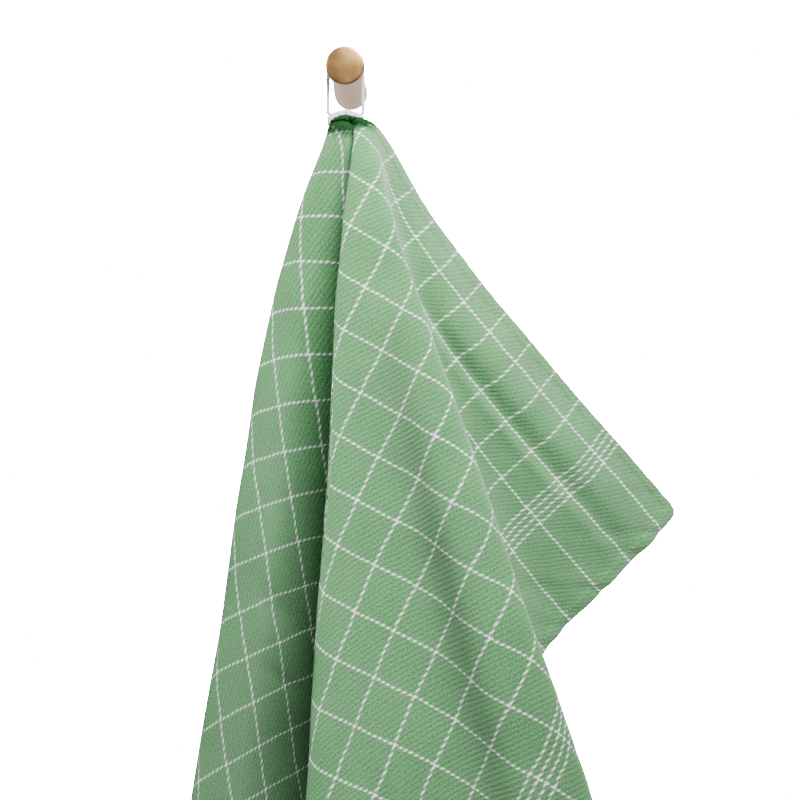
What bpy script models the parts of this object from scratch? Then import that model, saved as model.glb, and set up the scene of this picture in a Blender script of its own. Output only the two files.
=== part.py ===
"""A checked cotton tea towel hanging by its loop from a turned wall peg.

The origin is the middle of the peg's flat back, which goes against the wall. +Z is up, the towel
hangs on the -Y side, and all sizes are in metres.

The cloth is worked out as it hangs. Its hanging loop is sewn to the middle of one long side, and
every fold is a straight line of the flat cloth that starts there. So a point of the flat cloth has a
distance from the loop and an angle around it: 0 degrees along the long hem to the right, 180 along
the long hem to the left. A short length of the hem left of the loop is taken up in the gather.
FOLDS gives, for each fold's angle, where it starts in the gather and the direction in which it hangs.
"""
import math

import bmesh
import bpy
import numpy as np
from mathutils import Vector

# The cloth, flat
TOWEL_LENGTH = 0.700
TOWEL_WIDTH = 0.500
CLOTH_THICK = 0.0012
HEM_THICK = 0.0022

# The wall peg, turned from one rod, from the wall to its head
PEG_LENGTH = 0.081
PEG_FOOT_RADIUS = 0.0106
PEG_NECK_RADIUS = 0.0090
PEG_HEAD_RADIUS = 0.0119
PEG_HEAD_LENGTH = 0.0055
PEG_EDGE_ROUND = 0.0014
PEG_NECK_START = 0.066
PEG_SHOULDER = 0.0012
PEG_FLARE_STEPS = 10
PEG_SIDES = 40
PEG_SHARP_ANGLE = 35.0

# The hanging loop, of round cotton cord, over the peg's neck
LOOP_THICK = 0.0024
LOOP_GAP = 0.0003
LOOP_PLACE_Y = -0.072
LOOP_CORNER = 0.0024
LOOP_ARCH_SLOPE = 26.0
LOOP_TURN_STEPS = 10
LOOP_ARCH_STEPS = 10

# The middle of the hem, where the cloth is gathered under the loop
HANG_POINT = Vector((0.0005, LOOP_PLACE_Y, -0.0295))
LEFT_TAKE_UP = 0.014
GATHER_REACH = 0.006
GATHER_SAG = 0.003
GATHER_HALF_WIDTH = 0.012
TUCK = 0.016
TUCK_REACH = 0.020
SIDE_DRIFT = 0.005
SIDE_DRIFT_REACH = 0.040

# How fast a fold leaves the direction it has at the loop, and the one at a hand's width
TOP_REACH = 0.025
MIDDLE_REACH = 0.140

# A fold's rounding: the least angle that it takes up, the distance within which it widens no
# further, and how much less its far sides count than its middle
FOLD_ROUND_ANGLE = 2.5
FOLD_ROUND_LIMIT = 0.010
FOLD_SIDE_FADE = 0.9

# Each fold's angle in the flat cloth, where it starts in the gather, and where it points at the
# loop, further down and at its foot: its swing to the right of plumb, and its lean to the front, all
# in degrees. The start and the rounding, half a fold's width along the cloth, are in millimetres.
FOLDS = (
    # name, flat angle, start right, start front, top swing, top lean, middle swing, middle lean,
    # foot swing, foot lean, rounding
    ("right hem", 0.0, 12.2, -3.0, 70.5, -15.8, 28.1, -31.9, 40.8, -9.6, 8.0),
    ("right soft ridge", 10.0, 12.6, -0.8, 66.5, -7.0, 13.5, -8.6, 30.0, -8.0, 9.0),
    ("right inner", 20.5, 12.2, 1.4, 45.5, 1.3, 5.4, -10.7, 19.3, -5.7, 9.0),
    ("right valley", 32.0, 10.6, 3.2, 33.8, 17.3, 9.0, 5.1, 10.8, 2.2, 9.0),
    ("front right ridge", 43.0, 8.2, 5.0, 25.9, 28.0, 14.5, 17.5, 19.5, 11.1, 11.0),
    ("front middle", 55.0, 5.6, 6.6, 11.9, 27.2, 1.3, 18.4, 8.6, 5.9, 9.0),
    ("front left ridge", 68.5, 3.2, 7.8, 6.4, 37.4, -15.9, 12.0, -4.2, 11.0, 7.0),
    ("pleat front", 78.0, 1.4, 6.4, -1.5, 29.9, 1.4, 7.8, 0.2, 3.4, 8.0),
    ("pleat inside", 87.0, -0.3, 5.6, -3.9, 19.9, 1.8, -3.3, 6.5, -3.4, 8.5),
    ("pleat back", 94.5, -2.2, 6.0, -3.8, 13.0, -14.4, -6.4, 0.7, -6.6, 8.5),
    ("left inner", 102.0, -5.0, 6.0, -0.2, 6.5, -33.1, -7.3, -4.2, -1.0, 8.0),
    ("left roll", 112.0, -9.8, 3.8, -12.3, -1.6, -35.9, 1.5, -11.1, 6.0, 9.0),
    ("left back", 121.0, -11.4, 1.0, -28.1, -6.4, -28.8, -11.2, -9.1, -2.8, 9.0),
    ("back left", 130.0, -11.5, -2.0, -37.9, -18.0, -17.0, -15.0, -4.5, -7.0, 9.0),
    ("back ridge", 140.5, -10.0, -5.0, -30.0, -28.0, -6.0, -10.0, 4.5, -5.0, 9.0),
    ("back hollow", 150.5, -7.0, -7.0, -20.0, -36.0, 9.0, -15.0, 13.0, -8.8, 9.0),
    ("back right ridge", 160.0, -4.0, -8.0, -8.0, -42.0, 17.0, -11.0, 20.5, -6.5, 9.0),
    ("back right hollow", 170.0, 0.0, -8.0, 8.0, -44.0, 26.0, -16.0, 28.5, -9.4, 9.0),
    ("left hem", 180.0, 4.0, -7.5, 24.0, -42.0, 33.0, -16.0, 35.0, -9.4, 9.0),
)
FLAT_ANGLES = np.array([row[1] for row in FOLDS])
START, TOP, MIDDLE, FOOT = (np.array([row[first:first + 2] for row in FOLDS]) for first in (2, 4, 6, 8))
ROUNDING = np.array([row[10] for row in FOLDS])

# The cloth's own mesh: columns beside a sharp fold, and the widest and narrowest columns, in degrees
SHARP_FOLDS = ("right valley", "front right ridge", "front left ridge", "pleat inside", "left roll")
SHARP_OFFSETS = (-3.9, -2.6, -1.3, 1.3, 2.6, 3.9)
WIDEST_COLUMN = 4.4
NARROWEST_COLUMN = 0.5
ROWS = 30
ROW_CROWDING = 1.7
FIRST_ROW = 0.0025
ROUNDING_SAMPLES = 7


def direction(swing_lean):
    """Turn swings and leans in degrees into unit vectors, with plumb along -Z."""
    swing, lean = np.radians(swing_lean[..., 0]), np.radians(swing_lean[..., 1])
    return np.stack([np.sin(swing) * np.cos(lean), -np.sin(lean), -np.cos(swing) * np.cos(lean)], -1)


def fold_directions(distance):
    """The direction of every fold at one distance from the loop."""
    middle_share = math.exp(-distance / MIDDLE_REACH)
    top_share = math.exp(-distance / TOP_REACH)
    return direction(FOOT + (MIDDLE - FOOT) * middle_share + (TOP - MIDDLE) * top_share)


def cloth_point(distance, angle):
    """Where a point of the flat cloth hangs, as a vector."""
    folds = fold_directions(distance)
    rounding = np.interp(angle, FLAT_ANGLES, ROUNDING) / 1000
    half = FOLD_ROUND_ANGLE + math.degrees(rounding / max(distance, FOLD_ROUND_LIMIT))
    spread = np.linspace(-1.0, 1.0, ROUNDING_SAMPLES)
    weights = 1.0 - FOLD_SIDE_FADE * spread ** 2
    samples = np.clip(angle + half * spread, FLAT_ANGLES[0], FLAT_ANGLES[-1])
    hang = sum(weight * np.array([np.interp(sample, FLAT_ANGLES, folds[:, axis]) for axis in range(3)])
               for weight, sample in zip(weights, samples))
    hang = Vector(hang).normalized()
    right, front = (np.average(np.interp(samples, FLAT_ANGLES, START[:, axis]), weights=weights) / 1000
                    for axis in (0, 1))
    reach = distance - TUCK * (1.0 - math.exp(-distance / TUCK_REACH))
    sag = GATHER_SAG * (right / GATHER_HALF_WIDTH) ** 2
    opened = 1.0 - math.exp(-distance / GATHER_REACH)
    drift = SIDE_DRIFT * (1.0 - math.exp(-distance / SIDE_DRIFT_REACH))
    return HANG_POINT + opened * Vector((right, -front, -sag)) + Vector((drift, 0.0, 0.0)) + reach * hang


def side_length(angle):
    """How much of the long hem hangs free on the side that an angle lies on."""
    return TOWEL_LENGTH / 2 - (LEFT_TAKE_UP if angle > 90.0 else 0.0)


def hem_distance(angle):
    """How far the flat cloth reaches from the loop, at an angle."""
    along, across = abs(math.cos(math.radians(angle))), math.sin(math.radians(angle))
    return min(side_length(angle) / max(along, 1e-9), TOWEL_WIDTH / max(across, 1e-9))


def cloth_columns():
    """The mesh's angles: one at each fold and far corner, more at sharp folds, none far apart."""
    right_corner = math.degrees(math.atan2(TOWEL_WIDTH, side_length(0.0)))
    left_corner = 180.0 - math.degrees(math.atan2(TOWEL_WIDTH, side_length(180.0)))
    angles = [right_corner, left_corner]
    for name, angle, *_ in FOLDS:
        if abs(angle - right_corner) > NARROWEST_COLUMN:
            angles.append(angle)
        if name in SHARP_FOLDS:
            angles += [angle + offset for offset in SHARP_OFFSETS]
    angles.sort()
    columns = [angles[0]]
    for start, end in zip(angles[:-1], angles[1:]):
        steps = math.ceil((end - start) / WIDEST_COLUMN)
        columns += [start + (end - start) * step / steps for step in range(1, steps + 1)]
    return columns


def make_material(name, color, roughness, metallic=0.0):
    material = bpy.data.materials.new(name)
    material.use_nodes = True
    shader = material.node_tree.nodes["Principled BSDF"]
    shader.inputs["Base Color"].default_value = (*color, 1.0)
    shader.inputs["Roughness"].default_value = roughness
    shader.inputs["Metallic"].default_value = metallic
    return material


def add_object(name, mesh, material):
    made = bpy.data.objects.new(name, mesh)
    made.data.materials.append(material)
    bpy.context.scene.collection.objects.link(made)
    return made


def make_towel(material):
    """The whole cloth as one sheet, with its four hems a little thicker."""
    shape = bmesh.new()
    columns = cloth_columns()
    shares = [(row / ROWS) ** ROW_CROWDING for row in range(ROWS + 1)]
    grid = []
    for share in shares:
        row = []
        for angle in columns:
            distance = FIRST_ROW + (hem_distance(angle) - FIRST_ROW) * share
            row.append(shape.verts.new(cloth_point(distance, angle)))
        grid.append(row)
    for upper, lower in zip(grid[:-1], grid[1:]):
        for left, right in zip(range(len(columns) - 1), range(1, len(columns))):
            shape.faces.new((upper[left], upper[right], lower[right], lower[left]))
    mesh = bpy.data.meshes.new("tea_towel")
    shape.to_mesh(mesh)
    shape.free()
    mesh.shade_smooth()
    towel = add_object("tea_towel", mesh, material)

    width = len(columns)
    hems = {ROWS * width + column for column in range(width)}
    hems |= {row * width + side for row in range(ROWS + 1) for side in (0, width - 1)}
    group = towel.vertex_groups.new(name="hems")
    group.add(sorted(hems), 1.0, "REPLACE")
    wall = towel.modifiers.new("cloth thickness", "SOLIDIFY")
    wall.thickness = HEM_THICK
    wall.offset = 0.0
    wall.vertex_group = "hems"
    wall.thickness_vertex_group = CLOTH_THICK / HEM_THICK
    return towel


def peg_profile():
    """The peg's outline as distances from the wall and radii."""
    neck_end = PEG_LENGTH - PEG_HEAD_LENGTH
    points = [(0.0, 0.0), (0.0, PEG_FOOT_RADIUS)]
    for step in range(1, PEG_FLARE_STEPS + 1):
        share = step / PEG_FLARE_STEPS
        ease = 0.5 - 0.5 * math.cos(math.pi * share)
        radius = PEG_FOOT_RADIUS + (PEG_NECK_RADIUS - PEG_FOOT_RADIUS) * ease
        points.append((PEG_NECK_START * share, radius))
    points.append((neck_end - PEG_SHOULDER, PEG_NECK_RADIUS))
    for turn in np.linspace(0.0, math.pi / 2, 4):
        points.append((neck_end + PEG_EDGE_ROUND * (1.0 - math.cos(turn)),
                       PEG_HEAD_RADIUS - PEG_EDGE_ROUND * (1.0 - math.sin(turn))))
    for turn in np.linspace(0.0, math.pi / 2, 5):
        points.append((PEG_LENGTH - PEG_EDGE_ROUND * (1.0 - math.sin(turn)),
                       PEG_HEAD_RADIUS - PEG_EDGE_ROUND * (1.0 - math.cos(turn))))
    points.append((PEG_LENGTH, 0.0))
    return points


def make_peg(material):
    """The wall peg, turned about its own axis, with a flat back."""
    shape = bmesh.new()
    outline = [shape.verts.new((radius, -out, 0.0)) for out, radius in peg_profile()]
    edges = [shape.edges.new(pair) for pair in zip(outline[:-1], outline[1:])]
    bmesh.ops.spin(shape, geom=outline + edges, cent=(0, 0, 0), axis=(0, 1, 0),
                   angle=2 * math.pi, steps=PEG_SIDES)
    bmesh.ops.remove_doubles(shape, verts=shape.verts[:], dist=1e-6)
    bmesh.ops.recalc_face_normals(shape, faces=shape.faces[:])
    mesh = bpy.data.meshes.new("wall_peg")
    shape.to_mesh(mesh)
    shape.free()
    mesh.shade_smooth()
    mesh.set_sharp_from_angle(angle=math.radians(PEG_SHARP_ANGLE))
    return add_object("wall_peg", mesh, material)


def loop_route():
    """The loop's middle line: over the peg's neck, down both sides and in an arch above the hem."""
    radius = PEG_NECK_RADIUS + LOOP_GAP + LOOP_THICK / 2
    middle = HANG_POINT.z + HEM_THICK / 2 + LOOP_GAP + LOOP_THICK / 2
    slope = math.radians(LOOP_ARCH_SLOPE)
    corner_x = radius - LOOP_CORNER
    arch_end = corner_x - LOOP_CORNER * math.sin(slope)
    arch_drop = arch_end * math.tan(slope) / 2
    corner_z = middle - arch_drop + LOOP_CORNER * math.cos(slope)
    points = []
    for step in range(2 * LOOP_TURN_STEPS + 1):
        turn = math.pi * step / (2 * LOOP_TURN_STEPS)
        points.append((radius * math.cos(turn), radius * math.sin(turn)))
    points.append((-radius, corner_z / 2))
    for step in range(LOOP_TURN_STEPS + 1):
        turn = math.pi + (math.pi / 2 + slope) * step / LOOP_TURN_STEPS
        points.append((-corner_x + LOOP_CORNER * math.cos(turn), corner_z + LOOP_CORNER * math.sin(turn)))
    for step in range(1, LOOP_ARCH_STEPS):
        share = 2 * step / LOOP_ARCH_STEPS - 1
        points.append((arch_end * share, middle - arch_drop * share ** 2))
    for step in range(LOOP_TURN_STEPS + 1):
        turn = 1.5 * math.pi - slope + (math.pi / 2 + slope) * step / LOOP_TURN_STEPS
        points.append((corner_x + LOOP_CORNER * math.cos(turn), corner_z + LOOP_CORNER * math.sin(turn)))
    points.append((radius, corner_z / 2))
    return points


def make_loop(material):
    """The hanging loop, closed where its ends are sewn to the hem."""
    curve = bpy.data.curves.new("hanging_loop", "CURVE")
    curve.dimensions = "3D"
    curve.bevel_depth = LOOP_THICK / 2
    curve.bevel_resolution = 2
    route = loop_route()
    spline = curve.splines.new("POLY")
    spline.points.add(len(route) - 1)
    for point, (across, up) in zip(spline.points, route):
        point.co = (across, LOOP_PLACE_Y, up, 1.0)
    spline.use_cyclic_u = True
    return add_object("hanging_loop", curve, material)


for old in list(bpy.data.objects):
    bpy.data.objects.remove(old, do_unlink=True)

make_towel(make_material("green checked cotton twill", (0.12, 0.32, 0.13), 0.9))
make_loop(make_material("white cotton", (0.75, 0.76, 0.78), 0.85))
make_peg(make_material("polished brass", (0.55, 0.38, 0.20), 0.3, 1.0))
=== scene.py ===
"""A checked cotton tea towel hanging by its loop from a turned wall peg, in metres with +Z up."""
import math

import bmesh
import bpy
import numpy as np
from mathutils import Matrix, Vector, noise


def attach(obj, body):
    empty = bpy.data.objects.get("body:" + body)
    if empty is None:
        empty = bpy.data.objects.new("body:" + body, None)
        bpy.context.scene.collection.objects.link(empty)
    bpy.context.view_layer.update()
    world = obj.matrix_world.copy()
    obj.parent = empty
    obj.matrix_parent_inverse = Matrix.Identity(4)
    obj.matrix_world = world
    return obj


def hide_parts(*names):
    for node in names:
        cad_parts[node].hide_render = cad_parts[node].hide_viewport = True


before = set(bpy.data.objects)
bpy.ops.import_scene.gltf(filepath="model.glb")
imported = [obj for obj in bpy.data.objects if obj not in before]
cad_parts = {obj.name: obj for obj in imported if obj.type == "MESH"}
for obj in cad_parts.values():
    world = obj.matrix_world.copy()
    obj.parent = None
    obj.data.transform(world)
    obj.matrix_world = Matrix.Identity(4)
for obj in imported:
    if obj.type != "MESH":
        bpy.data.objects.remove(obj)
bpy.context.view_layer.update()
bpy.ops.object.select_all(action="DESELECT")

# The towel is one piece of cotton twill, hemmed all round and gathered at the middle of a long side,
# with a little hem taken up left of the loop. Folds run straight from the loop, at flat angles from
# 0, along the hem to the right, to 180, to the left. Starts and rounding are in millimetres.
TOWEL_LENGTH = 0.700
TOWEL_WIDTH = 0.500
HANG_POINT = np.array([0.0005, -0.072, -0.0295])
LEFT_TAKE_UP = 0.014
TAKE_UP_REACH = 0.024
TAKE_UP_ANGLES = (60.0, 115.0)
GATHER_REACH = 0.0025
GATHER_SAG = 0.0022
GATHER_HALF_WIDTH = 0.012
TUCK = 0.016
TUCK_REACH = 0.020
SIDE_DRIFT = 0.005
SIDE_DRIFT_REACH = 0.040
TOP_REACH = 0.025
MIDDLE_REACH = 0.140
FOLD_ROUND_ANGLE = 2.5
FOLD_ROUND_LIMIT = 0.010
FOLD_SIDE_FADE = 0.9
GATHER_SHARPNESS = 0.75
GATHER_SHARP_REACH = 0.020
ROUNDING_SAMPLES = 15
FOLDS = (
    # name, flat angle, start right, start front, top swing, top lean, middle swing, middle lean,
    # foot swing, foot lean, rounding
    ("right hem", 0.0, 12.2, -3.0, 70.5, -15.8, 28.1, -31.9, 40.8, -9.6, 8.0),
    ("right soft ridge", 10.0, 12.6, -0.8, 66.5, -7.0, 13.5, -8.6, 30.0, -8.0, 9.0),
    ("right inner", 20.5, 12.2, 1.4, 45.5, 1.3, 5.4, -10.7, 19.3, -5.7, 9.0),
    ("right valley", 32.0, 10.6, 3.2, 33.8, 17.3, 9.0, 5.1, 10.8, 2.2, 9.0),
    ("front right ridge", 43.0, 8.2, 5.0, 25.9, 28.0, 14.5, 17.5, 19.5, 11.1, 11.0),
    ("front middle", 55.0, 5.6, 6.6, 11.9, 27.2, 1.3, 18.4, 8.6, 5.9, 9.0),
    ("front left ridge", 68.5, 3.2, 7.8, 6.4, 37.4, -15.9, 12.0, -4.2, 11.0, 7.0),
    ("pleat front", 78.0, 1.4, 6.4, -1.5, 29.9, 1.4, 7.8, 0.2, 3.4, 8.0),
    ("pleat inside", 87.0, -0.3, 5.6, -3.9, 19.9, 1.8, -3.3, 6.5, -3.4, 8.5),
    ("pleat back", 94.5, -2.2, 6.0, -3.8, 13.0, -14.4, -6.4, 0.7, -6.6, 8.5),
    ("left inner", 102.0, -5.0, 6.0, -0.2, 6.5, -33.1, -7.3, -4.2, -1.0, 8.0),
    ("left roll", 112.0, -9.8, 3.8, -12.3, -1.6, -35.9, 1.5, -11.1, 6.0, 9.0),
    ("left back", 121.0, -11.4, 1.0, -28.1, -6.4, -28.8, -11.2, -9.1, -2.8, 9.0),
    ("back left", 130.0, -11.5, -2.0, -37.9, -18.0, -17.0, -15.0, -4.5, -7.0, 9.0),
    ("back ridge", 140.5, -10.0, -5.0, -30.0, -28.0, -6.0, -10.0, 4.5, -5.0, 9.0),
    ("back hollow", 150.5, -7.0, -7.0, -20.0, -36.0, 9.0, -15.0, 13.0, -8.8, 9.0),
    ("back right ridge", 160.0, -4.0, -8.0, -8.0, -42.0, 17.0, -11.0, 20.5, -6.5, 9.0),
    ("back right hollow", 170.0, 0.0, -8.0, 8.0, -44.0, 26.0, -16.0, 28.5, -9.4, 9.0),
    ("left hem", 180.0, 4.0, -7.5, 24.0, -42.0, 33.0, -16.0, 35.0, -9.4, 9.0),
)
FLAT_ANGLES = np.array([row[1] for row in FOLDS])
START, TOP, MIDDLE, FOOT = (np.array([row[first:first + 2] for row in FOLDS]) for first in (2, 4, 6, 8))
ROUNDING = np.array([row[10] for row in FOLDS])


def fold_direction(fold, distance):
    """The unit vectors in which folds, given by number, point at distances from the loop."""
    middle_share = np.exp(-distance / MIDDLE_REACH)[:, None]
    top_share = np.exp(-distance / TOP_REACH)[:, None]
    turned = FOOT[fold] + (MIDDLE - FOOT)[fold] * middle_share + (TOP - MIDDLE)[fold] * top_share
    swing, lean = np.radians(turned[:, 0]), np.radians(turned[:, 1])
    return np.stack([np.sin(swing) * np.cos(lean), -np.sin(lean), -np.cos(swing) * np.cos(lean)], -1)


def hang(along, across):
    """Where points of the flat cloth hang: along the long hem from its middle, and across from it."""
    flat_angle = np.degrees(np.arctan2(across, along))
    taken = np.clip((flat_angle - TAKE_UP_ANGLES[0]) / (TAKE_UP_ANGLES[1] - TAKE_UP_ANGLES[0]), 0.0, 1.0)
    taken = taken ** 2 * (3 - 2 * taken) * (1.0 - np.exp(-np.hypot(along, across) / TAKE_UP_REACH))
    along = along + LEFT_TAKE_UP * taken
    distance = np.maximum(np.hypot(along, across), 1e-6)
    angle = np.degrees(np.arctan2(across, along))
    rounding = np.interp(angle, FLAT_ANGLES, ROUNDING) / 1000
    rounding *= 1 - GATHER_SHARPNESS * np.exp(-(distance / GATHER_SHARP_REACH) ** 2)
    half = FOLD_ROUND_ANGLE + np.degrees(rounding / np.maximum(distance, FOLD_ROUND_LIMIT))
    way, start, total = np.zeros((len(along), 3)), np.zeros((len(along), 2)), 0.0
    for spread in np.linspace(-1.0, 1.0, ROUNDING_SAMPLES):
        sample = np.clip(angle + half * spread, 0.0, 180.0)
        fold = np.clip(np.searchsorted(FLAT_ANGLES, sample, side="right") - 1, 0, len(FOLDS) - 2)
        share = ((sample - FLAT_ANGLES[fold]) / (FLAT_ANGLES[fold + 1] - FLAT_ANGLES[fold]))[:, None]
        weight = 1.0 - FOLD_SIDE_FADE * spread ** 2
        way += weight * (1 - share) * fold_direction(fold, distance)
        way += weight * share * fold_direction(fold + 1, distance)
        start += weight * (START[fold] * (1 - share) + START[fold + 1] * share)
        total += weight
    way /= np.linalg.norm(way, axis=1)[:, None]

    right, front = start.T / total / 1000
    reach = distance - TUCK * (1.0 - np.exp(-distance / TUCK_REACH))
    opened = 1.0 - np.exp(-distance / GATHER_REACH)
    drift = SIDE_DRIFT * (1.0 - np.exp(-distance / SIDE_DRIFT_REACH))
    sag = GATHER_SAG * (right / GATHER_HALF_WIDTH) ** 2
    gather = np.stack([right * opened + drift, -front * opened, -sag * opened], -1)
    return HANG_POINT + gather + reach[:, None] * way


# Small relief on top of the folds, raised towards the face that the front panel shows: soft creases
# in millimetres of the flat cloth, puckers that the hem's seam draws in, fine pleats below the loop
# with a groove where its yarn pinches the cloth, and the slight unevenness of washed cotton.
CREASES = (
    # name, start along, start across, end along, end across, half width, height
    ("right panel ridge", 110.0, 55.0, 330.0, 57.0, 3.5, 1.5),
    ("right panel trough", 120.0, 48.0, 350.0, 47.0, 7.0, -4.4),
    ("right panel dip at the hem", 310.0, 112.0, 350.0, 104.0, 9.0, -2.6),
    ("right panel swell", 110.0, 34.0, 350.0, 34.0, 20.0, 6.0),
    ("front panel hollow", 84.0, 150.0, 206.0, 366.0, 32.0, -9.5),
    ("front panel swell", 96.0, 116.0, 300.0, 356.0, 18.0, 10.0),
    ("front panel ripple", 176.0, 330.0, 216.0, 372.0, 9.0, 1.6),
    ("valley below the loop", 0.5, 8.0, 1.0, 64.0, 5.5, -5.0),
    ("left panel crease", -106.0, 346.0, -76.0, 376.0, 4.0, -1.5),
    ("left panel dip", -104.0, 292.0, -60.0, 352.0, 9.0, -1.6),
)
CREASE_END = 0.1
HEM_WIDTH = 0.0085
PUCKER_HEIGHT = 0.0003
PUCKER_PITCH = 0.011
PUCKER_DRIFT = 1.3
PUCKER_DRIFT_PITCH = 0.047
WAVE_HEIGHT = 0.0009
WAVE_PITCH = 0.029
WAVE_REACH = 0.030
PLEAT_HEIGHT = 0.0024
PLEAT_REACH = 0.017
PLEAT_COUNT = 8
GROOVE_DEPTH = 0.0046
GROOVE_DISTANCE = 0.011
GROOVE_HALF_WIDTH = 0.0055
GROOVE_ANGLE = 78.0
GROOVE_SPREAD = 42.0
UNEVEN_HEIGHT = 0.0013
UNEVEN_SIZE = 0.055
CALM_REACH = 0.05


def edge_distance(along, across):
    """How far points lie from the cloth's nearest edge."""
    sides = TOWEL_LENGTH / 2 - np.abs(along)
    return np.minimum(sides, np.minimum(across, TOWEL_WIDTH - across))


def relief(along, across):
    """The small relief's height at points of the flat cloth."""
    height = np.zeros(len(along))
    place = np.stack([along, across], -1) * 1000
    for _, x0, y0, x1, y1, half_width, raised in CREASES:
        start, run = np.array([x0, y0]), np.array([x1 - x0, y1 - y0])
        share = np.clip((place - start) @ run / (run @ run), 0.0, 1.0)
        off = np.linalg.norm(place - start - share[:, None] * run, axis=1)
        lengthwise = np.sin(math.pi * (CREASE_END + (1 - 2 * CREASE_END) * share))
        height += raised / 1000 * np.exp(-(off / half_width) ** 2) * lengthwise
    inside, distance = edge_distance(along, across), np.hypot(along, across)
    calm = 1 - np.exp(-(distance / CALM_REACH) ** 2)
    walk = along + across
    drift = PUCKER_DRIFT * np.sin(2 * math.pi * walk / PUCKER_DRIFT_PITCH)
    pucker = np.sin(2 * math.pi * walk / PUCKER_PITCH + drift)
    pucker *= np.exp(-((inside - HEM_WIDTH) / HEM_WIDTH) ** 2)
    wave = np.sin(2 * math.pi * walk / WAVE_PITCH + drift)
    wave *= np.exp((np.abs(along) - TOWEL_LENGTH / 2) / WAVE_REACH)
    height += calm * (PUCKER_HEIGHT * pucker + WAVE_HEIGHT * wave)
    angle = np.degrees(np.arctan2(across, along))
    front = np.exp(-((angle - GROOVE_ANGLE) / GROOVE_SPREAD) ** 2)
    pleat = np.sin(2 * math.pi * PLEAT_COUNT * angle / 180) * (1 - np.exp(-distance / GROOVE_HALF_WIDTH))
    height += PLEAT_HEIGHT * pleat * front * np.exp(-(distance / PLEAT_REACH) ** 2)
    height -= GROOVE_DEPTH * front * np.exp(-((distance - GROOVE_DISTANCE) / GROOVE_HALF_WIDTH) ** 2)
    uneven = [noise.noise(Vector((x / UNEVEN_SIZE, y / UNEVEN_SIZE, 0.0))) for x, y in zip(along, across)]
    return height + UNEVEN_HEIGHT * np.array(uneven) * calm


PROBE_STEP = 0.0004


def facing(place, along, across):
    """The unit normals of the cloth's face, for a function that places its points."""
    rightward = place(along + PROBE_STEP, across) - place(along - PROBE_STEP, across)
    downward = place(along, across + PROBE_STEP) - place(along, across - PROBE_STEP)
    normal = np.cross(downward, rightward)
    return normal / np.maximum(np.linalg.norm(normal, axis=1), 1e-12)[:, None]


def cloth_at(along, across):
    """Where points of the cloth's middle layer are, with the small relief."""
    return hang(along, across) + relief(along, across)[:, None] * facing(hang, along, across)


# The cloth's mesh: a grid of the flat cloth, finer at the loop and at the hems, with rounded corners.
# Its face and back close at the edge. A hem is the cloth turned twice, so it is thicker.
CLOTH_THICK = 0.0009
HEM_THICK = 0.0024
HEM_STEP_WIDTH = 0.0004
EDGE_ROUND_WIDTH = 0.0014
EDGE_THINNEST = 0.02
CORNER_ROUND = 0.0100
FINE_STEP = 0.0010
WIDE_STEP = 0.0034
FINE_REACH = 0.050
HEM_LINES = (0.0, 0.0002, 0.0007, 0.0017, 0.0034, 0.0054, 0.0070, 0.0080, 0.0090, 0.0104)


def grid_lines(limit, start_lines):
    """Places of the grid's lines from start_lines out to the hem at limit."""
    lines = list(start_lines)
    while lines[-1] < limit - HEM_LINES[-1] - WIDE_STEP:
        widened = 1 - math.exp(-lines[-1] / FINE_REACH)
        lines.append(lines[-1] + FINE_STEP + (WIDE_STEP - FINE_STEP) * widened)
    return lines + [limit - inside for inside in reversed(HEM_LINES)]


def thickness(along, across):
    """The cloth's thickness: one layer, three in the hem, rounded off at the very edge."""
    inside = edge_distance(along, across)
    hem_share = 1 / (1 + np.exp((inside - HEM_WIDTH) / HEM_STEP_WIDTH))
    from_edge = np.clip(inside / EDGE_ROUND_WIDTH, 0, 1)
    edge_round = np.sqrt(np.clip(1 - (1 - from_edge) ** 2, EDGE_THINNEST, 1))
    return (CLOTH_THICK + (HEM_THICK - CLOTH_THICK) * hem_share) * edge_round


right_lines = grid_lines(TOWEL_LENGTH / 2, (0.0,))
columns = np.array([-x for x in reversed(right_lines[1:])] + right_lines)
rows = np.array(grid_lines(TOWEL_WIDTH, HEM_LINES))
flat_across, flat_along = (part.ravel() for part in np.meshgrid(rows, columns, indexing="ij"))
near_side = np.clip((np.abs(flat_along) - TOWEL_LENGTH / 2 + CORNER_ROUND) / CORNER_ROUND, 0, 1)
from_middle = np.abs(flat_across - TOWEL_WIDTH / 2)
near_end = np.clip((from_middle - TOWEL_WIDTH / 2 + CORNER_ROUND) / CORNER_ROUND, 0, 1)
pull_side = near_side * (1 - np.sqrt(1 - near_end ** 2 / 2)) * CORNER_ROUND
pull_end = near_end * (1 - np.sqrt(1 - near_side ** 2 / 2)) * CORNER_ROUND
sheet_along = flat_along - np.sign(flat_along) * pull_side
sheet_across = flat_across - np.sign(flat_across - TOWEL_WIDTH / 2) * pull_end

middle_layer = cloth_at(sheet_along, sheet_across)
half_thick = thickness(flat_along, flat_across)[:, None] / 2
outward = facing(cloth_at, sheet_along, sheet_across)
count, width = len(middle_layer), len(columns)
points = np.concatenate([middle_layer + half_thick * outward, middle_layer - half_thick * outward])
faces = []
for row in range(len(rows) - 1):
    for column in range(width - 1):
        a, b = row * width + column, row * width + column + 1
        faces.append((a, a + width, b + width, b))
        faces.append((count + a, count + b, count + b + width, count + a + width))
top_row = list(range(width))
right_column = [row * width + width - 1 for row in range(len(rows))]
bottom_row = [(len(rows) - 1) * width + column for column in reversed(range(width))]
left_column = [row * width for row in reversed(range(len(rows)))]
rim = top_row + right_column[1:] + bottom_row[1:] + left_column[1:-1]
for a, b in zip(rim, rim[1:] + rim[:1]):
    faces.append((a, b, count + b, count + a))

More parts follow.
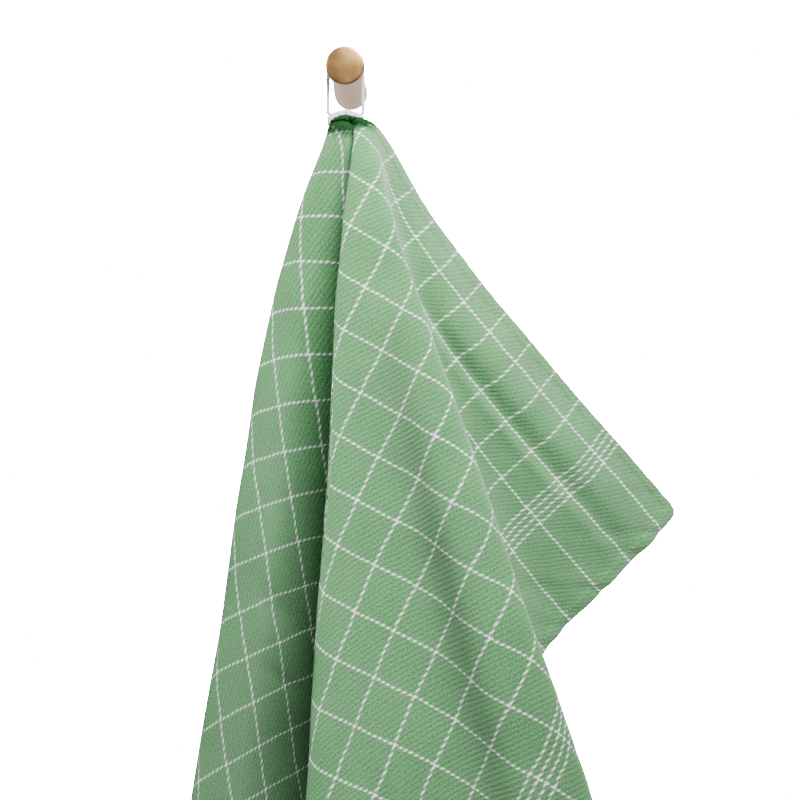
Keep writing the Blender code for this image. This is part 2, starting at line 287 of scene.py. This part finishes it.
towel_mesh = bpy.data.meshes.new("checked_towel")
towel_mesh.from_pydata(points.tolist(), [], faces)
uv_layer = towel_mesh.uv_layers.new(name="flat cloth")
corner_points = np.zeros(len(towel_mesh.loops), int)
towel_mesh.loops.foreach_get("vertex_index", corner_points)
corner_points %= count
uv_layer.data.foreach_set("uv", np.stack([sheet_along[corner_points] / TOWEL_LENGTH + 0.5,
                                          sheet_across[corner_points] / TOWEL_WIDTH], -1).ravel())
towel_mesh.shade_smooth()
towel = bpy.data.objects.new("checked_towel", towel_mesh)
bpy.context.scene.collection.objects.link(towel)


def linear(hex_color):
    """An sRGB hex colour as linear red, green, blue and alpha."""
    parts = [int(hex_color[i:i + 2], 16) / 255 for i in (1, 3, 5)]
    return (*[p / 12.92 if p <= 0.04045 else ((p + 0.055) / 1.055) ** 2.4 for p in parts], 1.0)


def add_node(tree, kind, settings=None, **inputs):
    """Add a node with its settings, and fill its inputs, named in_0, in_1 and so on, or by name."""
    node = tree.nodes.new("ShaderNode" + kind)
    for name, value in (settings or {}).items():
        setattr(node, name, value)
    for name, value in inputs.items():
        socket = node.inputs[int(name[3:])] if name.startswith("in_") else node.inputs[name.replace("_", " ")]
        value = value.outputs[0] if isinstance(value, bpy.types.Node) else value
        if isinstance(value, bpy.types.NodeSocket):
            tree.links.new(value, socket)
        else:
            socket.default_value = value
    return node


# Yarn-dyed cotton twill: green and paler yarns make slanting ribs, and the check's white yarns float
# over them and show as dashes. Real ribs are about 0.7 mm apart, and these are four times as coarse,
# so that they show. Under the loop, painted shade darkens the gathered cloth to deep green.
CHECK_PITCH = (25.9, 28.6)
CHECK_FIRST_LINE = (12.95, 21.45)
CHECK_END = 259.0
GROUP_MIDDLE = 279.05
GROUP_PITCH = 4.77
GROUP_COUNT = 4
OFF_THE_CHECK = 99.0
LINE_HALF_WIDTH = 0.74
LINE_SOFTNESS = 0.38
LINE_WANDER = 1.8
WANDER_PER_MM = 0.06
RIB_PITCH = (3.35, 4.80)
GRAIN_PER_MM = 1.1
GRAIN_RANGE = (0.34, 0.66)
PATCHES_PER_MM = 0.03
DASH_RANGE = (0.50, 1.20)
DASH_FAINTEST = 0.12
PALE_START = -0.22
PALE_BY_RIB = 0.20
PALE_BY_GRAIN = 0.70
PALE_BY_PATCHES = 0.30
YARN_RELIEF = 0.0004
CLOTH_ROUGHNESS = 0.9
NAP_SHEEN = 0.55
YARN_GREEN = "#0F6417"
YARN_PALE = "#74B578"
YARN_WHITE = "#F4F7F6"
# Deep green painted as shade in the gather under the loop.
GATHER_SHADE_GREEN = "#05340A"
GATHER_SHADE_MIDDLE = (-5.0, 4.0, 0.0)
GATHER_SHADE_REACH = (21.0, 30.0)
GATHER_SHADE_UNEVEN = 9.0
GATHER_SHADE_MOST = 0.9

twill = bpy.data.materials.new("woven cotton twill")
twill.use_nodes = True
tree = twill.node_tree
shader = tree.nodes["Principled BSDF"]
uv_map = add_node(tree, "UVMap", {"uv_map": "flat cloth"})
centred = add_node(tree, "VectorMath", {"operation": "SUBTRACT"}, in_0=uv_map, in_1=(0.5, 0.0, 0.0))
flat_size = (TOWEL_LENGTH * 1000, TOWEL_WIDTH * 1000, 1.0)
in_mm = add_node(tree, "VectorMath", {"operation": "MULTIPLY"}, in_0=centred, in_1=flat_size)
wander = add_node(tree, "TexNoise", {"noise_dimensions": "2D"}, Vector=in_mm, Scale=WANDER_PER_MM,
                  Detail=2.0)
wander_off = add_node(tree, "VectorMath", {"operation": "SUBTRACT"}, in_0=wander.outputs["Color"],
                      in_1=(0.5, 0.5, 0.5))
wandered = add_node(tree, "VectorMath", {"operation": "MULTIPLY_ADD"}, in_0=wander_off,
                    in_1=(LINE_WANDER, LINE_WANDER, 0.0), in_2=in_mm)
mirrored = add_node(tree, "VectorMath", {"operation": "ABSOLUTE"}, in_0=wandered)
from_first = add_node(tree, "VectorMath", {"operation": "SUBTRACT"}, in_0=mirrored,
                      in_1=(*CHECK_FIRST_LINE, 0.0))
to_nearest = add_node(tree, "VectorMath", {"operation": "WRAP"}, in_0=from_first,
                      in_1=(CHECK_PITCH[0] / 2, CHECK_PITCH[1] / 2, 1.0),
                      in_2=(-CHECK_PITCH[0] / 2, -CHECK_PITCH[1] / 2, -1.0))
off_nearest = add_node(tree, "VectorMath", {"operation": "ABSOLUTE"}, in_0=to_nearest)
off_lines = add_node(tree, "SeparateXYZ", Vector=off_nearest)
from_centre = add_node(tree, "SeparateXYZ", Vector=mirrored)
past_check = add_node(tree, "Math", {"operation": "GREATER_THAN"}, in_0=from_centre, in_1=CHECK_END)
off_cross = add_node(tree, "Math", {"operation": "MULTIPLY_ADD"}, in_0=past_check, in_1=OFF_THE_CHECK,
                     in_2=off_lines)
from_group = add_node(tree, "Math", {"operation": "SUBTRACT"}, in_0=from_centre, in_1=GROUP_MIDDLE)
in_group = add_node(tree, "Math", {"operation": "WRAP"}, in_0=from_group, in_1=GROUP_PITCH, in_2=0.0)
off_middle = add_node(tree, "Math", {"operation": "SUBTRACT"}, in_0=in_group, in_1=GROUP_PITCH / 2)
group_line = add_node(tree, "Math", {"operation": "ABSOLUTE"}, in_0=off_middle)
group_far = add_node(tree, "Math", {"operation": "ABSOLUTE"}, in_0=from_group)
past_group = add_node(tree, "Math", {"operation": "GREATER_THAN"}, in_0=group_far,
                      in_1=GROUP_PITCH * GROUP_COUNT / 2)
off_group = add_node(tree, "Math", {"operation": "MULTIPLY_ADD"}, in_0=past_group, in_1=OFF_THE_CHECK,
                     in_2=group_line)
off_any_cross = add_node(tree, "Math", {"operation": "MINIMUM"}, in_0=off_cross, in_1=off_group)
inner, outer = LINE_HALF_WIDTH - LINE_SOFTNESS, LINE_HALF_WIDTH + LINE_SOFTNESS
cross_line = add_node(tree, "MapRange", {"interpolation_type": "SMOOTHSTEP"}, Value=off_any_cross,
                      From_Min=inner, From_Max=outer, To_Min=1.0, To_Max=0.0)
length_line = add_node(tree, "MapRange", {"interpolation_type": "SMOOTHSTEP"}, Value=off_lines.outputs[1],
                       From_Min=inner, From_Max=outer, To_Min=1.0, To_Max=0.0)

mottle = add_node(tree, "TexNoise", {"noise_dimensions": "2D"}, Vector=in_mm, Scale=GRAIN_PER_MM,
                  Detail=3.0, Roughness=0.7)
patches = add_node(tree, "TexNoise", {"noise_dimensions": "2D"}, Vector=in_mm, Scale=PATCHES_PER_MM,
                   Detail=3.0)
rib_steps = add_node(tree, "VectorMath", {"operation": "DIVIDE"}, in_0=wandered, in_1=(*RIB_PITCH, 1.0))
rib_phase = add_node(tree, "VectorMath", {"operation": "DOT_PRODUCT"}, in_0=rib_steps, in_1=(1.0, 1.0, 0.0))
rib_turn = add_node(tree, "Math", {"operation": "MULTIPLY"}, in_0=rib_phase.outputs["Value"],
                    in_1=2 * math.pi)
rib_wave = add_node(tree, "Math", {"operation": "SINE"}, in_0=rib_turn)
rib = add_node(tree, "Math", {"operation": "MULTIPLY_ADD"}, in_0=rib_wave, in_1=0.5, in_2=0.5)
grain = add_node(tree, "MapRange", Value=mottle, From_Min=GRAIN_RANGE[0], From_Max=GRAIN_RANGE[1])
uneven_rib = add_node(tree, "Math", {"operation": "MULTIPLY_ADD"}, in_0=grain, in_1=0.5, in_2=rib)
dash = add_node(tree, "MapRange", {"interpolation_type": "SMOOTHSTEP"}, Value=uneven_rib,
                From_Min=DASH_RANGE[0], From_Max=DASH_RANGE[1], To_Min=DASH_FAINTEST, To_Max=1.0)
either_line = add_node(tree, "Math", {"operation": "MAXIMUM"}, in_0=cross_line, in_1=length_line)
dashed = add_node(tree, "Math", {"operation": "MULTIPLY"}, in_0=either_line, in_1=dash)
crossing = add_node(tree, "Math", {"operation": "MULTIPLY"}, in_0=cross_line, in_1=length_line)
white_share = add_node(tree, "Math", {"operation": "MAXIMUM"}, in_0=dashed, in_1=crossing)

ribbed = add_node(tree, "Math", {"operation": "MULTIPLY_ADD"}, in_0=rib, in_1=PALE_BY_RIB, in_2=PALE_START)
grained = add_node(tree, "Math", {"operation": "MULTIPLY_ADD"}, in_0=grain, in_1=PALE_BY_GRAIN, in_2=ribbed)
pale_share = add_node(tree, "Math", {"operation": "MULTIPLY_ADD"}, in_0=patches, in_1=PALE_BY_PATCHES,
                      in_2=grained)
ground = add_node(tree, "Mix", {"data_type": "RGBA", "clamp_factor": True}, Factor=pale_share,
                  in_6=linear(YARN_GREEN), in_7=linear(YARN_PALE))
colored = add_node(tree, "Mix", {"data_type": "RGBA"}, Factor=white_share, in_6=ground.outputs[2],
                   in_7=linear(YARN_WHITE))
# Painted shade: near the loop's gather the colour is mixed towards deep green, unevenly at its edge, in place
# of the shadow there.
from_gather = add_node(tree, "VectorMath", {"operation": "SUBTRACT"}, in_0=in_mm, in_1=GATHER_SHADE_MIDDLE)
gather_far = add_node(tree, "VectorMath", {"operation": "LENGTH"}, in_0=from_gather)
gather_edge = add_node(tree, "Math", {"operation": "MULTIPLY_ADD"}, in_0=mottle, in_1=GATHER_SHADE_UNEVEN,
                       in_2=gather_far.outputs["Value"])
painted_gather_shade = add_node(tree, "MapRange", {"interpolation_type": "SMOOTHSTEP"}, Value=gather_edge,
                  From_Min=GATHER_SHADE_REACH[0], From_Max=GATHER_SHADE_REACH[1],
                  To_Min=GATHER_SHADE_MOST, To_Max=0.0)
shade_painted_color = add_node(tree, "Mix", {"data_type": "RGBA"}, Factor=painted_gather_shade, in_6=colored.outputs[2],
                    in_7=linear(GATHER_SHADE_GREEN))
tree.links.new(shade_painted_color.outputs[2], shader.inputs["Base Color"])
yarn_height = add_node(tree, "Math", {"operation": "MULTIPLY_ADD"}, in_0=white_share, in_1=0.5,
                       in_2=uneven_rib)
bump = add_node(tree, "Bump", Height=yarn_height, Strength=0.5, Distance=YARN_RELIEF)
tree.links.new(bump.outputs[0], shader.inputs["Normal"])
shader.inputs["Roughness"].default_value = CLOTH_ROUGHNESS
shader.inputs["Specular IOR Level"].default_value = 0.15
# The sheen fades out where the gather's shade is painted.
nap = add_node(tree, "MapRange", Value=painted_gather_shade, To_Min=NAP_SHEEN, To_Max=0.0)
tree.links.new(nap.outputs[0], shader.inputs["Sheen Weight"])
shader.inputs["Sheen Roughness"].default_value = 0.75
shader.inputs["Sheen Tint"].default_value = linear("#F2F5F3")
towel.data.materials.append(twill)
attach(towel, "root")
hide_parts("tea_towel")

# The hems' seam: a lockstitch of green cotton thread close to the hem's inner edge, the same on both
# faces. Each stitch dips into the cloth at both ends, and a gap lies under the loop's yarn.
STITCH_PITCH = 0.0031
STITCH_LENGTH = 0.0023
STITCH_RADIUS = 0.00028
STITCH_INSIDE = 0.0070
STITCH_SIDES = 5
SEAM_GAP = 0.014
STITCH_RINGS = ((-0.5, 0.35, -0.5), (-0.3, 0.95, 0.25), (0.3, 0.95, 0.25), (0.5, 0.35, -0.5))

half_length, end_across = TOWEL_LENGTH / 2 - STITCH_INSIDE, TOWEL_WIDTH - STITCH_INSIDE
seam_corners = ((-half_length, STITCH_INSIDE), (half_length, STITCH_INSIDE),
                (half_length, end_across), (-half_length, end_across))
stitch_points, stitch_faces = [], []
for (x0, y0), (x1, y1) in zip(seam_corners, seam_corners[1:] + seam_corners[:1]):
    run = math.hypot(x1 - x0, y1 - y0)
    number = int(run / STITCH_PITCH)
    centres = (np.arange(number) + 0.5) / number
    ring_places = []
    for offset, _, _ in STITCH_RINGS:
        share = centres + offset * STITCH_LENGTH / run
        ring_places.append((x0 + (x1 - x0) * share, y0 + (y1 - y0) * share))
    seam_points = [cloth_at(*places) for places in ring_places]
    seam_normals = [facing(cloth_at, *places) for places in ring_places]
    lift = thickness(*ring_places[1])[0] / 2
    for stitch in range(number):
        if math.hypot(x0 + (x1 - x0) * centres[stitch], y0 + (y1 - y0) * centres[stitch]) < SEAM_GAP:
            continue
        for side in (1.0, -1.0):
            first = len(stitch_points)
            thread_way = seam_points[-1][stitch] - seam_points[0][stitch]
            thread_way /= np.linalg.norm(thread_way)
            for (_, radius, raise_by), spots, ups in zip(STITCH_RINGS, seam_points, seam_normals):
                up = ups[stitch] * side
                beside = np.cross(thread_way, up)
                centre = spots[stitch] + up * (lift + raise_by * STITCH_RADIUS)
                for corner in range(STITCH_SIDES):
                    turn = 2 * math.pi * corner / STITCH_SIDES
                    step = beside * math.cos(turn) + up * math.sin(turn)
                    stitch_points.append(centre + STITCH_RADIUS * radius * step)
            for ring in range(len(STITCH_RINGS) - 1):
                for corner in range(STITCH_SIDES):
                    a = first + ring * STITCH_SIDES + corner
                    b = first + ring * STITCH_SIDES + (corner + 1) % STITCH_SIDES
                    stitch_faces.append((a, b, b + STITCH_SIDES, a + STITCH_SIDES))
            last = first + (len(STITCH_RINGS) - 1) * STITCH_SIDES
            stitch_faces.append(tuple(first + corner for corner in reversed(range(STITCH_SIDES))))
            stitch_faces.append(tuple(last + corner for corner in range(STITCH_SIDES)))


def add_yarn(name, yarn_points, yarn_faces):
    """Add a smooth piece of thread, cord or yarn with its faces outwards."""
    mesh = bpy.data.meshes.new(name)
    mesh.from_pydata([tuple(p) for p in yarn_points], [], yarn_faces)
    shape = bmesh.new()
    shape.from_mesh(mesh)
    bmesh.ops.recalc_face_normals(shape, faces=shape.faces[:])
    shape.to_mesh(mesh)
    shape.free()
    mesh.shade_smooth()
    piece = bpy.data.objects.new(name, mesh)
    bpy.context.scene.collection.objects.link(piece)
    return piece


seam = add_yarn("hem_seam", stitch_points, stitch_faces)

# Sewing thread, spun and mercerised: a little glossier than the cloth, with its own small unevenness.
FUZZ_PER_M = 900.0
thread = bpy.data.materials.new("cotton sewing thread")
thread.use_nodes = True
tree = thread.node_tree
shader = tree.nodes["Principled BSDF"]
coordinates = add_node(tree, "TexCoord")
fuzz = add_node(tree, "TexNoise", Vector=coordinates.outputs["Object"], Scale=FUZZ_PER_M, Detail=2.0)
thread_color = add_node(tree, "Mix", {"data_type": "RGBA"}, Factor=fuzz, in_6=linear("#6FA273"),
                        in_7=linear("#A5C4A6"))
tree.links.new(thread_color.outputs[2], shader.inputs["Base Color"])
shader.inputs["Roughness"].default_value = 0.7
shader.inputs["Sheen Weight"].default_value = 0.2
seam.data.materials.append(thread)
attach(seam, "root")

# The hanging loop is a white cotton cord of three twisted plies. It lies over the peg's neck, and its
# foot arches above the hem, where soft yarn is whipped round the cord and the gathered cloth.
PEG_NECK_RADIUS = 0.0094
LOOP_THICK = 0.0024
LOOP_GAP = 0.0003
LOOP_PLACE_Y = -0.072
LOOP_CORNER = 0.0024
LOOP_ARCH_SLOPE = 26.0
LOOP_TURN_STEPS = 10
LOOP_ARCH_STEPS = 10
HEM_SOLID_THICK = 0.0022
PLY_COUNT = 3
PLY_RADIUS = 0.00062
PLY_OFFSET = 0.00056
PLY_SIDES = 10
TWIST_PITCH = 0.0054
CORD_STEP = 0.00040

loop_radius = PEG_NECK_RADIUS + LOOP_GAP + LOOP_THICK / 2
arch_top = HANG_POINT[2] + HEM_SOLID_THICK / 2 + LOOP_GAP + LOOP_THICK / 2
arch_slope = math.radians(LOOP_ARCH_SLOPE)
corner_x = loop_radius - LOOP_CORNER
arch_end = corner_x - LOOP_CORNER * math.sin(arch_slope)
arch_drop = arch_end * math.tan(arch_slope) / 2
corner_z = arch_top - arch_drop + LOOP_CORNER * math.cos(arch_slope)
route = []
for step in range(2 * LOOP_TURN_STEPS + 1):
    turn = math.pi * step / (2 * LOOP_TURN_STEPS)
    route.append((loop_radius * math.cos(turn), loop_radius * math.sin(turn)))
for step in range(LOOP_TURN_STEPS + 1):
    turn = math.pi + (math.pi / 2 + arch_slope) * step / LOOP_TURN_STEPS
    route.append((-corner_x + LOOP_CORNER * math.cos(turn), corner_z + LOOP_CORNER * math.sin(turn)))
for step in range(1, LOOP_ARCH_STEPS):
    share = 2 * step / LOOP_ARCH_STEPS - 1
    route.append((arch_end * share, arch_top - arch_drop * share ** 2))
for step in range(LOOP_TURN_STEPS + 1):
    turn = 1.5 * math.pi - arch_slope + (math.pi / 2 + arch_slope) * step / LOOP_TURN_STEPS
    route.append((corner_x + LOOP_CORNER * math.cos(turn), corner_z + LOOP_CORNER * math.sin(turn)))
route = np.array(route + route[:1])
walked = np.concatenate([[0.0], np.cumsum(np.linalg.norm(np.diff(route, axis=0), axis=1))])
steps = int(walked[-1] / CORD_STEP)
even = np.arange(steps) / steps * walked[-1]
line = np.stack([np.interp(even, walked, route[:, axis]) for axis in (0, 1)], -1)
ahead = np.roll(line, -2, axis=0) - np.roll(line, 2, axis=0)
ahead /= np.linalg.norm(ahead, axis=1)[:, None]
turns = round(walked[-1] / TWIST_PITCH)
cord_points, cord_faces = [], []
for ply in range(PLY_COUNT):
    first = len(cord_points)
    for step in range(steps):
        inward = np.array([-ahead[step, 1], 0.0, ahead[step, 0]])
        sideways = np.array([0.0, 1.0, 0.0])
        twist = 2 * math.pi * (turns * step / steps + ply / PLY_COUNT)
        centre = np.array([line[step, 0], LOOP_PLACE_Y, line[step, 1]])
        centre = centre + PLY_OFFSET * (math.cos(twist) * inward + math.sin(twist) * sideways)
        for corner in range(PLY_SIDES):
            turn = 2 * math.pi * corner / PLY_SIDES
            cord_points.append(centre + PLY_RADIUS * (math.cos(turn) * inward + math.sin(turn) * sideways))
    for step in range(steps):
        for corner in range(PLY_SIDES):
            a = first + step * PLY_SIDES + corner
            b = first + step * PLY_SIDES + (corner + 1) % PLY_SIDES
            c = first + (step + 1) % steps * PLY_SIDES + (corner + 1) % PLY_SIDES
            d = first + (step + 1) % steps * PLY_SIDES + corner
            cord_faces.append((a, b, c, d))

cotton_loop = add_yarn("cotton_loop", cord_points, cord_faces)

# The whipping: one soft yarn wound round the arch from its left end to its right, uneven from turn to
# turn. Its turns reach from above the cord into the cloth's edge below it.
WHIP_TURNS = 24
WHIP_HALF_WIDTH = 0.0112
WHIP_TURN_STEPS = 18
WHIP_SIDES = 7
WHIP_RADIUS = 0.00055
WHIP_HALF_HEIGHT = 0.0026
WHIP_HALF_DEPTH = 0.0016
WHIP_DROP = 0.0016
WHIP_UNEVEN = 0.00045
LOOSE_STEPS = 6.0
SHIFT_STEPS = 9.0

whip_line = []
for step in range(WHIP_TURNS * WHIP_TURN_STEPS + 1):
    share = 2 * step / (WHIP_TURNS * WHIP_TURN_STEPS) - 1
    turn = 2 * math.pi * step / WHIP_TURN_STEPS
    arch_x = WHIP_HALF_WIDTH * share
    arch_z = arch_top - arch_drop * (arch_x / arch_end) ** 2 - WHIP_DROP
    loose = 1 + WHIP_UNEVEN / WHIP_HALF_DEPTH * noise.noise(Vector((step / LOOSE_STEPS, 4.7, 1.9)))
    shift = WHIP_UNEVEN * noise.noise(Vector((step / SHIFT_STEPS, 2.3, 7.1)))
    whip_line.append((arch_x + shift, LOOP_PLACE_Y + WHIP_HALF_DEPTH * loose * math.sin(turn),
                      arch_z + WHIP_HALF_HEIGHT * loose * math.cos(turn)))
whip_line = np.array(whip_line)
whip_ahead = np.gradient(whip_line, axis=0)
whip_ahead /= np.linalg.norm(whip_ahead, axis=1)[:, None]
whip_points, whip_faces = [], []
for spot, way in zip(whip_line, whip_ahead):
    beside = np.cross(way, (1.0, 0.0, 0.0))
    beside /= np.linalg.norm(beside)
    above = np.cross(beside, way)
    for corner in range(WHIP_SIDES):
        turn = 2 * math.pi * corner / WHIP_SIDES
        whip_points.append(spot + WHIP_RADIUS * (math.cos(turn) * beside + math.sin(turn) * above))
for ring in range(len(whip_line) - 1):
    for corner in range(WHIP_SIDES):
        a, b = ring * WHIP_SIDES + corner, ring * WHIP_SIDES + (corner + 1) % WHIP_SIDES
        whip_faces.append((a, b, b + WHIP_SIDES, a + WHIP_SIDES))
last_ring = (len(whip_line) - 1) * WHIP_SIDES
whip_faces.append(tuple(reversed(range(WHIP_SIDES))))
whip_faces.append(tuple(range(last_ring, last_ring + WHIP_SIDES)))
whipping = add_yarn("loop_whipping", whip_points, whip_faces)

# Bleached cotton yarn, soft and matt, with fine fibres across each ply, and painted bluish shade in the
# fibres' hollows.
FIBRES_PER_M = 2200.0
FIBRE_RELIEF = 0.0002
cotton = bpy.data.materials.new("bleached cotton yarn")
cotton.use_nodes = True
tree = cotton.node_tree
shader = tree.nodes["Principled BSDF"]
coordinates = add_node(tree, "TexCoord")
fibres = add_node(tree, "TexNoise", Vector=coordinates.outputs["Object"], Scale=FIBRES_PER_M, Detail=3.0)
# Painted shade: where the fibre bump is low, the colour turns a darker bluish grey.
cotton_shaded_color = add_node(tree, "Mix", {"data_type": "RGBA"}, Factor=fibres, in_6=linear("#B9BCCB"),
                        in_7=linear("#F1F1F4"))
tree.links.new(cotton_shaded_color.outputs[2], shader.inputs["Base Color"])
fibre_bump = add_node(tree, "Bump", Height=fibres, Strength=0.5, Distance=FIBRE_RELIEF)
tree.links.new(fibre_bump.outputs[0], shader.inputs["Normal"])
shader.inputs["Roughness"].default_value = 0.9
shader.inputs["Sheen Weight"].default_value = 0.4
for piece in (cotton_loop, whipping):
    piece.data.materials.append(cotton)
    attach(piece, "root")
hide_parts("hanging_loop")

# The peg is turned from one brass rod: a wide foot with a flat back, a long neck that narrows towards
# the front and keeps the loop in place, a shoulder, and a flat head with rounded edges.
PEG_LENGTH = 0.081
PEG_FOOT_RADIUS = 0.0113
PEG_NECK_START = 0.066
PEG_SHOULDER = 0.0012
PEG_HEAD_RADIUS = 0.0119
PEG_HEAD_LENGTH = 0.0055
PEG_EDGE_ROUND = 0.0014
PEG_SIDES = 96
PEG_FLARE_STEPS = 18
PEG_ROUND_STEPS = 6

head_start = PEG_LENGTH - PEG_HEAD_LENGTH
profile = []
for step in range(1, PEG_FLARE_STEPS + 1):
    share = step / PEG_FLARE_STEPS
    ease = 0.5 - 0.5 * math.cos(math.pi * share)
    profile.append((PEG_NECK_START * share, PEG_FOOT_RADIUS + (PEG_NECK_RADIUS - PEG_FOOT_RADIUS) * ease))
profile.append((head_start - PEG_SHOULDER, PEG_NECK_RADIUS))
for step in range(PEG_ROUND_STEPS + 1):
    turn = math.pi / 2 * step / PEG_ROUND_STEPS
    profile.append((head_start + PEG_EDGE_ROUND * (1 - math.cos(turn)),
                    PEG_HEAD_RADIUS - PEG_EDGE_ROUND * (1 - math.sin(turn))))
for step in range(PEG_ROUND_STEPS + 1):
    turn = math.pi / 2 * step / PEG_ROUND_STEPS
    profile.append((PEG_LENGTH - PEG_EDGE_ROUND * (1 - math.sin(turn)),
                    PEG_HEAD_RADIUS - PEG_EDGE_ROUND * (1 - math.cos(turn))))

bpy.ops.object.select_all(action="DESELECT")
bpy.ops.mesh.primitive_circle_add(vertices=PEG_SIDES, radius=PEG_FOOT_RADIUS, fill_type="NGON",
                                  location=(0, 0, 0), rotation=(math.pi / 2, 0, 0))
peg = bpy.context.object
peg.name = "turned_peg"
bpy.ops.object.transform_apply(location=True, rotation=True, scale=True)
bpy.ops.object.mode_set(mode="EDIT")
bpy.ops.mesh.select_all(action="SELECT")
out_now, radius_now = 0.0, PEG_FOOT_RADIUS
for out, radius in profile:
    bpy.ops.mesh.extrude_region_move(TRANSFORM_OT_translate={"value": (0, out_now - out, 0)})
    bpy.ops.transform.resize(value=(radius / radius_now, 1, radius / radius_now))
    out_now, radius_now = out, radius
bpy.ops.mesh.select_all(action="SELECT")
bpy.ops.mesh.remove_doubles(threshold=0.00001)
bpy.ops.mesh.normals_make_consistent(inside=False)
bpy.ops.object.mode_set(mode="OBJECT")
bpy.ops.object.shade_smooth_by_angle(angle=math.radians(40))

# Brass, turned and polished, then lacquered: fine rings left by the tool, cloudy patches that are partly
# darkening from handling and partly a painted lighter reflection band, and a soft reflection. The lacquer
# adds a thin clear gloss.
RINGS_PER_MM = 2.5
RING_RELIEF = 0.0001
CLOUDS_PER_M = 130.0
BRASS_ROUGHNESS = (0.22, 0.38)
brass = bpy.data.materials.new("turned lacquered brass")
brass.use_nodes = True
tree = brass.node_tree
shader = tree.nodes["Principled BSDF"]
coordinates = add_node(tree, "TexCoord")
axes = add_node(tree, "SeparateXYZ", Vector=coordinates.outputs["Object"])
flat_place = add_node(tree, "CombineXYZ", X=axes.outputs[0], Z=axes.outputs[2])
from_axis = add_node(tree, "VectorMath", {"operation": "LENGTH"}, in_0=flat_place)
ring_phase = add_node(tree, "Math", {"operation": "MULTIPLY"}, in_0=from_axis.outputs["Value"],
                      in_1=RINGS_PER_MM * 1000 * 2 * math.pi)
rings = add_node(tree, "Math", {"operation": "SINE"}, in_0=ring_phase)
cloud = add_node(tree, "TexNoise", Vector=coordinates.outputs["Object"], Scale=CLOUDS_PER_M, Detail=4.0)
# Partly painted reflection: the cloud noise lightens and darkens the brass's colour, standing in for the
# head's soft reflected band, besides darkening from handling.
brass_wear_and_reflection = add_node(tree, "Mix", {"data_type": "RGBA"}, Factor=cloud, in_6=linear("#8F7048"),
                       in_7=linear("#C09C70"))
tree.links.new(brass_wear_and_reflection.outputs[2], shader.inputs["Base Color"])
rough = add_node(tree, "MapRange", Value=cloud, To_Min=BRASS_ROUGHNESS[0], To_Max=BRASS_ROUGHNESS[1])
tree.links.new(rough.outputs[0], shader.inputs["Roughness"])
ring_bump = add_node(tree, "Bump", Height=rings, Strength=0.06, Distance=RING_RELIEF)
tree.links.new(ring_bump.outputs[0], shader.inputs["Normal"])
shader.inputs["Metallic"].default_value = 1.0
shader.inputs["Coat Weight"].default_value = 0.25
shader.inputs["Coat Roughness"].default_value = 0.15
peg.data.materials.clear()
peg.data.materials.append(brass)
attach(peg, "root")
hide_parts("wall_peg")

# A pale studio floor, well below the hanging cloth, which ends before the camera's own view.
FLOOR_Z = -1.30
FLOOR_SIZE = 3.2
bpy.ops.object.select_all(action="DESELECT")
bpy.ops.mesh.primitive_plane_add(size=FLOOR_SIZE, location=(0, 0, FLOOR_Z))
floor = bpy.context.object
floor.name = "studio_floor"
floor_paint = bpy.data.materials.new("matt white studio paint")
floor_paint.use_nodes = True
floor_paint.node_tree.nodes["Principled BSDF"].inputs["Base Color"].default_value = linear("#EDEDEB")
floor_paint.node_tree.nodes["Principled BSDF"].inputs["Roughness"].default_value = 0.9
floor.data.materials.append(floor_paint)

# Soft light: a large lamp in front at the right, a weaker one at the left, and a dim room. What the
# brass reflects of the room is brighter at the back, and the backdrop is plain white.
LOOK_AT = Vector((0.05, -0.08, -0.28))
LAMPS = (
    # name, place, size, power
    ("key_lamp", (0.22, -0.55, 0.42), 0.35, 13.5),
    ("side_lamp", (-0.70, -0.75, 0.35), 0.5, 2.5),
)
for name, place, size, power in LAMPS:
    lamp_data = bpy.data.lights.new(name, "AREA")
    lamp_data.size = size
    lamp_data.energy = power
    lamp = bpy.data.objects.new(name, lamp_data)
    lamp.location = place
    lamp.rotation_euler = (LOOK_AT - Vector(place)).to_track_quat("-Z", "Y").to_euler()
    bpy.context.scene.collection.objects.link(lamp)
ROOM_LIGHT = 0.20
ROOM_BLEND = 0.4
ROOM_DIM = 0.38
BACK_BRIGHT = 1.05
BACKDROP_LIGHT = 25.0
world = bpy.data.worlds.new("white room")
world.use_nodes = True
tree = world.node_tree
background = tree.nodes["Background"]
ray = add_node(tree, "LightPath")
toward = add_node(tree, "SeparateXYZ", Vector=add_node(tree, "TexCoord").outputs["Generated"])
back_side = add_node(tree, "MapRange", Value=toward.outputs[1], From_Min=-ROOM_BLEND, From_Max=ROOM_BLEND,
                     To_Min=ROOM_DIM, To_Max=BACK_BRIGHT)
reflected = add_node(tree, "MapRange", Value=ray.outputs["Is Glossy Ray"], To_Min=ROOM_LIGHT,
                     To_Max=back_side)
seen = add_node(tree, "MapRange", Value=ray.outputs["Is Camera Ray"], To_Min=reflected,
                To_Max=BACKDROP_LIGHT)
background.inputs["Color"].default_value = (1.0, 1.0, 1.0, 1.0)
tree.links.new(seen.outputs[0], background.inputs["Strength"])
bpy.context.scene.world = world
bpy.context.scene.view_settings.view_transform = "AgX"
bpy.context.scene.view_settings.look = "AgX - Medium High Contrast"

# The camera stands a little right of the peg, level, with its lens shifted down.
camera_data = bpy.data.cameras.new("camera")
camera_data.lens = 47.8
camera_data.sensor_width = 36.0
camera_data.shift_y = -0.0931
camera_data.clip_start = 0.01
camera = bpy.data.objects.new("camera", camera_data)
camera.location = (0.0338, -0.732, -0.1597)
camera.rotation_euler = (math.pi / 2, 0, 0)
bpy.context.scene.collection.objects.link(camera)
bpy.context.scene.camera = camera
